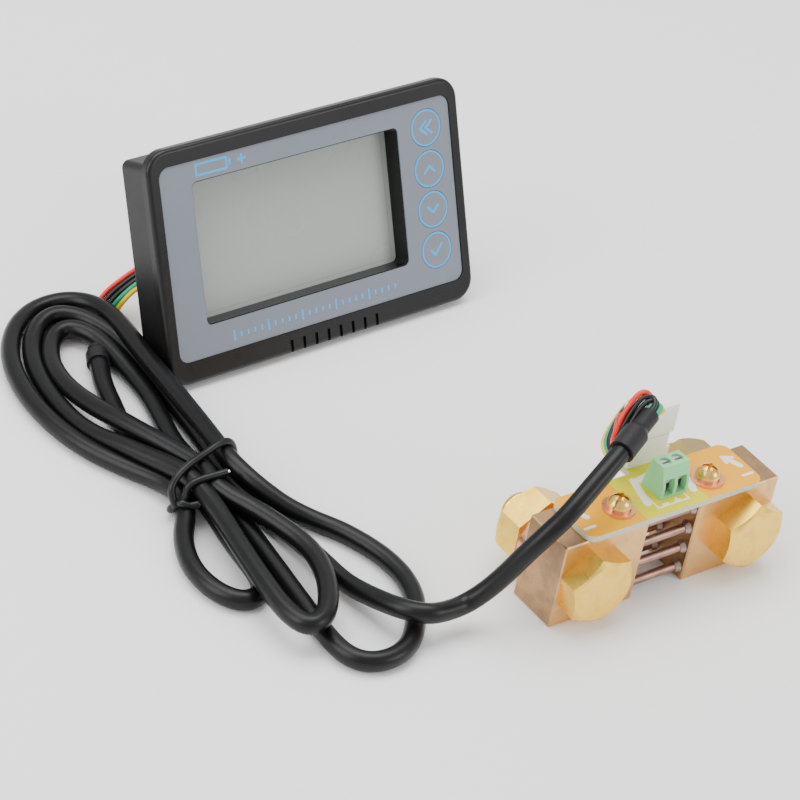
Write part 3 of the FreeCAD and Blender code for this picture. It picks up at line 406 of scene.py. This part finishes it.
sleeve_rubber = Finish("sleeve_rubber", base_color=(0.008, 0.008, 0.010), specular_ior_level=0.3)
place = sleeve_rubber.position()
wrinkles = sleeve_rubber.noise(place, 1.1, 5.0, 0.65)
sleeve_rubber.feed(normal=sleeve_rubber.bump(wrinkles, 0.22, 0.9), roughness=0.36 + 0.24 * wrinkles)
give(sleeve_rubber, "shunt_sleeve", "meter_sleeve")


# Two terminal blocks of brass, sawn and drilled: sandy and lined by milling along their length, with random
# stain; their tops and left ends are painted darker and browner, which is painted shade.

milled_brass = Finish("milled_brass", metallic=1.0)
place = milled_brass.position()
grain = milled_brass.noise(milled_brass.stretched(place, (0.25, 7.0, 7.0)), 0.55, 4.0)
cloud = milled_brass.noise(place, 0.16, 4.0, 0.6)
spots = milled_brass.noise(place, 0.9, 3.0, 0.7)
stain = ((cloud - 0.44) * 3.0 + (spots - 0.55)).limited()
facing_right, _, facing_up = milled_brass.axes(milled_brass.node("ShaderNodeNewGeometry", {}, output=1))
# Painted shade: faces turned up or to the left are mixed towards the dull brown, with the random stain added
# on top.
top_and_left_shade_with_stain = (0.75 * (-1.0 * facing_right).at_least(facing_up) + stain * 0.5).limited()
milled_brass.feed(base_color=milled_brass.mix(top_and_left_shade_with_stain, (0.78, 0.47, 0.19), (0.36, 0.225, 0.125)),
                  roughness=0.34 + 0.22 * (grain - 0.5) + 0.1 * stain,
                  normal=milled_brass.bump(grain + 0.5 * spots, 0.012, 0.8))
give(milled_brass, "left_block", "right_block")


# Hexagon bolts and nuts, M10, polished yellow brass with fine scuffs, the right nut dull and
# greenish. The thread behind each nut is a relief of rings, one to each pitch, and the washers
# between nut and block are copper.

THREAD_PITCH = 1.5
NUT_BACK = 18.6


def bolt_brass(name, bright, dull):
    finish = Finish(name, metallic=1.0)
    place = finish.position()
    cloud = finish.noise(place, 0.22, 4.0, 0.6)
    scuffs = finish.noise(finish.stretched(place, (3.0, 0.6, 3.0)), 0.7, 5.0)
    stain = ((cloud - 0.47) * 3.2).limited()
    _, along, _ = finish.axes(place)
    thread = finish.node("ShaderNodeMath", {"operation": "PINGPONG"}, along, THREAD_PITCH / 2)
    behind_nut = finish.node("ShaderNodeMath", {"operation": "GREATER_THAN"}, along, NUT_BACK)
    relief = thread * behind_nut * 0.8 + scuffs * 0.06 + cloud * 0.1
    finish.feed(base_color=finish.mix(stain, bright, dull), roughness=0.22 + 0.14 * scuffs + 0.08 * stain,
                normal=finish.bump(relief, 0.5, 0.7))
    return finish


give(bolt_brass("bolt_brass", (0.92, 0.60, 0.10), (0.80, 0.46, 0.05)), "left_bolt", "right_bolt", "left_nut")
give(bolt_brass("dull_nut_brass", (0.55, 0.41, 0.15), (0.38, 0.29, 0.11)), "right_nut")
copper = Finish("copper_washers", base_color=(0.90, 0.46, 0.28), metallic=1.0)
place = copper.position()
copper.feed(roughness=0.2 + 0.2 * copper.noise(place, 0.8),
            normal=copper.bump(copper.noise(place, 1.4, 4.0), 0.03, 0.6))
give(copper, "flat_washers_m10", "left_spring_washer", "right_spring_washer")


# Four resistance rods, drawn alloy bar with a dull pink-brown skin, and the dull solder, browned by
# flux, that holds each end in its block.

rod_alloy = Finish("rod_alloy", metallic=1.0)
place = rod_alloy.position()
drawn = rod_alloy.noise(rod_alloy.stretched(place, (0.2, 4.0, 4.0)), 0.6, 4.0)
cloud = rod_alloy.noise(place, 0.3, 4.0)
browner = ((cloud - 0.4) * 2.5).limited()
rod_alloy.feed(base_color=rod_alloy.mix(browner, (0.42, 0.25, 0.19), (0.25, 0.15, 0.12)),
               roughness=0.30 + 0.2 * drawn, normal=rod_alloy.bump(drawn, 0.02, 0.8))
give(rod_alloy, "resistance_rods")
solder = Finish("solder", metallic=1.0, base_color=(0.36, 0.27, 0.22))
place = solder.position()
solder.feed(roughness=0.24 + 0.3 * solder.noise(place, 0.7),
            normal=solder.bump(solder.noise(place, 0.8, 4.0), 0.12, 0.8))
give(solder, "solder_fillets")


# Sense board: 1.6 mm glass-fibre board under a yellow-green mask, orange at both ends, printed
# with white bars, an arrow and a minus sign at each end, and a box round the terminal with its two
# signs. The chips under it have the same black moulding as the meter's.

BOARD_MIDDLE = 20.75
BOARD_TOP = 26.0
YELLOW_HALF_WIDTH = 9.6
board = Finish("printed_board", specular_ior_level=0.35, coat_weight=0.08, coat_roughness=0.12)
x, y, z = board.axes(board.position())
x = x - BOARD_MIDDLE


def soft_edge(distance, width):
    """1 where distance is below 0, 0 beyond width."""
    return (1 - distance / width).limited()


def capsule(x, y, start, end, radius):
    """Distance outside a rounded bar between two points."""
    (ax, ay), (bx, by) = start, end
    reach = (bx - ax) ** 2 + (by - ay) ** 2
    along = (((x - ax) * (bx - ax) + (y - ay) * (by - ay)) / reach).limited()
    dx = x - ax - along * (bx - ax)
    dy = y - ay - along * (by - ay)
    return (dx * dx + dy * dy) ** 0.5 - radius


def bars(x, y, radius, *pairs):
    """Distance outside the nearest of several rounded bars."""
    nearest = capsule(x, y, *pairs[0], radius)
    for start, end in pairs[1:]:
        nearest = nearest.at_most(capsule(x, y, start, end, radius))
    return nearest


wave = board.noise(board.position(), 0.18, 1.0)
middle = soft_edge(abs(x + 0.3) - YELLOW_HALF_WIDTH + (wave - 0.5), 0.25)
mask = board.mix(middle, (0.88, 0.40, 0.0), (0.66, 0.62, 0.0))
tracks = soft_edge(bars(x, y, 0.55, ((-9.0, 2.0), (-4.0, -4.5)), ((-3.5, -5.0), (6.0, -5.0)),
                        ((7.0, -4.0), (9.0, 3.0))), 0.2)
mask = board.mix(tracks * 0.55, mask, (0.85, 0.45, 0.002))
arrows = bars(x, y, 0.75, ((25.4, -0.9), (24.4, 1.4)), ((-23.2, -0.9), (-24.2, 1.4)))
heads = bars(x, y, 0.45, ((23.2, 3.6), (22.9, 1.4)), ((23.2, 3.6), (25.6, 2.5)), ((23.4, 2.8), (24.2, 2.0)),
             ((-25.4, 3.6), (-25.7, 1.4)), ((-25.4, 3.6), (-23.0, 2.5)), ((-25.2, 2.8), (-24.4, 2.0)))
end_signs = bars(x, y, 0.34, ((-26.4, -4.4), (-23.4, -4.4)), ((23.4, -4.4), (26.4, -4.4)))
terminal_box = bars(x, y, 0.2, ((-4.6, -5.6), (4.9, -5.6)), ((-4.6, -5.6), (-4.6, 4.6)),
                    ((4.9, -5.6), (4.9, 4.6)))
white_bars = bars(x, y, 0.95, ((-3.7, 5.4), (-6.1, -3.0)), ((-2.2, 5.1), (1.8, 5.7)),
                  ((9.8, 0.2), (8.1, -3.3)))
terminal_signs = bars(x, y, 0.28, ((-2.6, -5.0), (-1.2, -5.0)), ((1.0, -5.0), (2.4, -5.0)),
                      ((1.7, -4.4), (1.7, -5.6)))
printed = arrows
for print_line in (heads, end_signs, terminal_box, white_bars, terminal_signs):
    printed = printed.at_most(print_line)
white = soft_edge(printed, 0.12)
top = board.node("ShaderNodeMath", {"operation": "GREATER_THAN"}, z, BOARD_TOP - 0.05)
mask = board.mix(white * top, mask, (0.86, 0.84, 0.74))
weave = board.noise(board.position(), 2.4, 2.0)
edge = board.mix(weave, (0.50, 0.52, 0.36), (0.64, 0.65, 0.50))
board.feed(base_color=board.mix(top, edge, mask), roughness=0.24 + 0.16 * weave + 0.2 * white,
           normal=board.bump(weave * 0.3 + white + tracks * 0.6, 0.035, 0.8))
give(board, "sense_board")
chips = Finish("chip_black", base_color=(0.03, 0.03, 0.033), roughness=0.5)
chips.feed(normal=chips.bump(chips.noise(chips.position(), 4.0), 0.02, 0.6))
give(chips, "sense_components", "meter_chips")


# Cross-recess screws through the board into the blocks, yellow zinc, with a copper flat washer
# and a spring washer under each head.

screw_brass = Finish("screw_brass", metallic=1.0)
place = screw_brass.position()
cloud = screw_brass.noise(place, 0.6, 3.0)
redder = ((cloud - 0.4) * 3).limited()
screw_brass.feed(base_color=screw_brass.mix(redder, (0.93, 0.60, 0.16), (0.75, 0.40, 0.08)),
                 roughness=0.16 + 0.18 * cloud, normal=screw_brass.bump(cloud, 0.04, 0.6))
give(screw_brass, "board_screws")
give(copper, "board_flat_washers", "board_spring_washers")


# Two-pole screw terminal: moulded green nylon with zinc-plated screws and clamps. The plating is
# on the meter's small steel parts too, and all pins and contacts are tinned alike.

terminal_green = Finish("terminal_green", specular_ior_level=0.5, subsurface_weight=0.08,
                        subsurface_scale=0.001)
place = terminal_green.position()
mottle = terminal_green.noise(place, 0.5, 4.0)
terminal_green.feed(base_color=terminal_green.mix(mottle, (0.19, 0.60, 0.25), (0.27, 0.69, 0.33)),
                    roughness=0.30 + 0.16 * mottle,
                    normal=terminal_green.bump(terminal_green.noise(place, 3.0, 2.0), 0.02, 0.6))
give(terminal_green, "terminal_body")
plated = Finish("zinc_plate", base_color=(0.66, 0.67, 0.68), metallic=1.0)
place = plated.position()
plated.feed(roughness=0.22 + 0.24 * plated.noise(place, 1.2),
            normal=plated.bump(plated.noise(place, 2.5), 0.02, 0.6))
give(plated, "terminal_screw_left", "terminal_screw_right", "terminal_clamp_left", "terminal_clamp_right",
     "meter_board_screws", "key_switches")
tin = Finish("tinned_pins", base_color=(0.80, 0.80, 0.78), metallic=1.0)
tin.feed(roughness=0.2 + 0.2 * tin.noise(tin.position(), 1.5))
give(tin, "terminal_pins", "shunt_header_pins", "shunt_plug_contacts", "meter_header_pins",
     "meter_plug_contacts")


# Five-pole headers and plugs, one pair on the shunt and one behind the meter: moulded in natural
# nylon, slightly translucent.

nylon = Finish("natural_nylon", subsurface_weight=0.25, subsurface_scale=0.0015, specular_ior_level=0.45)
place = nylon.position()
mottle = nylon.noise(place, 0.4, 4.0)
nylon.feed(base_color=nylon.mix(mottle, (0.95, 0.945, 0.93), (0.90, 0.895, 0.87)),
           roughness=0.32 + 0.14 * mottle, normal=nylon.bump(nylon.noise(place, 2.5), 0.02, 0.5))
give(nylon, "shunt_header", "shunt_plug", "meter_header", "meter_plug")


# Meter shells: a two-part black moulding clipped together, the front bezel glossy and the rear
# housing finely textured.

for name, gloss, grain in (("front_bezel", 0.22, 0.006), ("rear_housing", 0.34, 0.03)):
    shell = Finish(f"{name}_black", base_color=(0.005, 0.005, 0.0055), specular_ior_level=0.32)
    place = shell.position()
    cloud = shell.noise(place, 0.08, 4.0)
    shell.feed(roughness=gloss + 0.14 * cloud, normal=shell.bump(shell.noise(place, 2.2, 3.0), grain, 0.7))
    give(shell, name)


# Face of the meter: blue-grey printed film over the bezel and the keys, with four cyan rings and
# their signs, a battery outline over the window and a row of scale marks below it.

KEY_X = 88.5
KEY_HEIGHTS = (49.6, 38.3, 27.1, 15.8)
RING_RADIUS = 4.8
SCALE_LEFT = 20.6
SCALE_HEIGHT = 9.4
MARK_PITCH = 2.2
film = Finish("printed_film", specular_ior_level=0.4)


def face_place(finish):
    """Right along the meter's face, depth, and up it, in millimetres from its corner."""
    place = finish.position()
    turned = finish.node("ShaderNodeVectorRotate", {"rotation_type": "EULER_XYZ", "invert": True},
                         place, tuple(METER_CORNER), rotation=tuple(METER_TURN))
    x, y, z = finish.axes(turned)
    return x - METER_CORNER.x, y - METER_CORNER.y, z - METER_CORNER.z


def key_ring(height):
    """Distance outside the line of one key's ring."""
    reach = ((x - KEY_X) ** 2 + (z - height) ** 2) ** 0.5
    return abs(reach - RING_RADIUS) - 0.24


x, _, z = face_place(film)
rings = key_ring(KEY_HEIGHTS[0])
for height in KEY_HEIGHTS[1:]:
    rings = rings.at_most(key_ring(height))
signs = bars(x, z, 0.27,
             ((KEY_X, 51.3), (KEY_X - 2.0, 49.6)), ((KEY_X, 47.9), (KEY_X - 2.0, 49.6)),
             ((KEY_X + 1.9, 51.3), (KEY_X - 0.1, 49.6)), ((KEY_X + 1.9, 47.9), (KEY_X - 0.1, 49.6)),
             ((KEY_X - 1.7, 37.4), (KEY_X, 39.1)), ((KEY_X, 39.1), (KEY_X + 1.7, 37.4)),
             ((KEY_X - 1.7, 28.0), (KEY_X, 26.3)), ((KEY_X, 26.3), (KEY_X + 1.7, 28.0)),
             ((KEY_X - 1.7, 15.8), (KEY_X - 0.5, 14.5)), ((KEY_X - 0.5, 14.5), (KEY_X + 1.9, 17.3)))
battery = bars(x, z, 0.22,
               ((14.6, 53.2), (24.0, 53.2)), ((24.0, 53.2), (24.0, 56.0)), ((24.0, 56.0), (14.6, 56.0)),
               ((14.6, 56.0), (14.6, 53.2)), ((25.0, 54.0), (25.0, 55.2)), ((27.6, 54.6), (29.8, 54.6)),
               ((28.7, 53.5), (28.7, 55.7)))
mark = film.node("ShaderNodeMath", {"operation": "PINGPONG"}, x - SCALE_LEFT, MARK_PITCH / 2)
every_fifth = film.node("ShaderNodeMath", {"operation": "PINGPONG"}, x - SCALE_LEFT, 5 * MARK_PITCH / 2)
too_high = abs(z - SCALE_HEIGHT) - 0.6 - 0.8 * soft_edge(every_fifth - 0.5, 0.1)
scale = (mark - 0.2).at_least(too_high).at_least(abs(x - 47.6) - 27.2)
cyan = soft_edge(rings.at_most(signs).at_most(battery).at_most(scale), 0.12)
speckle = film.noise(film.position(), 3.0, 2.0)
film_grey = film.mix(speckle, (0.165, 0.185, 0.220), (0.182, 0.205, 0.242))
film.feed(base_color=film.mix(cyan, film_grey, (0.02, 0.36, 0.80)), roughness=0.34 + 0.1 * speckle,
          normal=film.bump(speckle, 0.004, 0.6))
give(film, "overlay_film", "back_key", "up_key", "down_key", "ok_key")


# Display and what is behind it: grey-green glass with the polariser's faint edge and painted shading that
# darkens it towards the top, a white light guide, and the meter's own board.

glass = Finish("display_glass", specular_ior_level=0.5, coat_weight=0.15, coat_roughness=0.2)
x, _, z = face_place(glass)
cloud = glass.noise(glass.position(), 0.03, 2.0)
# Painted shading: the glass goes from a lighter grey at the bottom to a darker grey at the top.
painted_top_shade = ((z - 14) / 38).limited()
glass_grey = glass.mix(painted_top_shade, (0.36, 0.385, 0.365), (0.30, 0.325, 0.31))
border = soft_edge(abs(abs(x - 45.9) - 31.3).at_most(abs(abs(z - 32.8) - 17.4)) - 0.1, 0.15)
glass.feed(base_color=glass.mix(border * 0.25, glass_grey, (0.16, 0.17, 0.165)), roughness=0.22 + 0.1 * cloud)
give(glass, "lcd_glass")
guide = Finish("light_guide", base_color=(0.86, 0.87, 0.86), roughness=0.4)
guide.feed(normal=guide.bump(guide.noise(guide.position(), 2.0), 0.02, 0.5))
give(guide, "lcd_backlight")
meter_board = Finish("meter_board_green", base_color=(0.02, 0.16, 0.06), specular_ior_level=0.5,
                     coat_weight=0.3)
weave = meter_board.noise(meter_board.position(), 2.4, 2.0)
meter_board.feed(roughness=0.3 + 0.15 * weave, normal=meter_board.bump(weave, 0.02, 0.6))
give(meter_board, "meter_board")
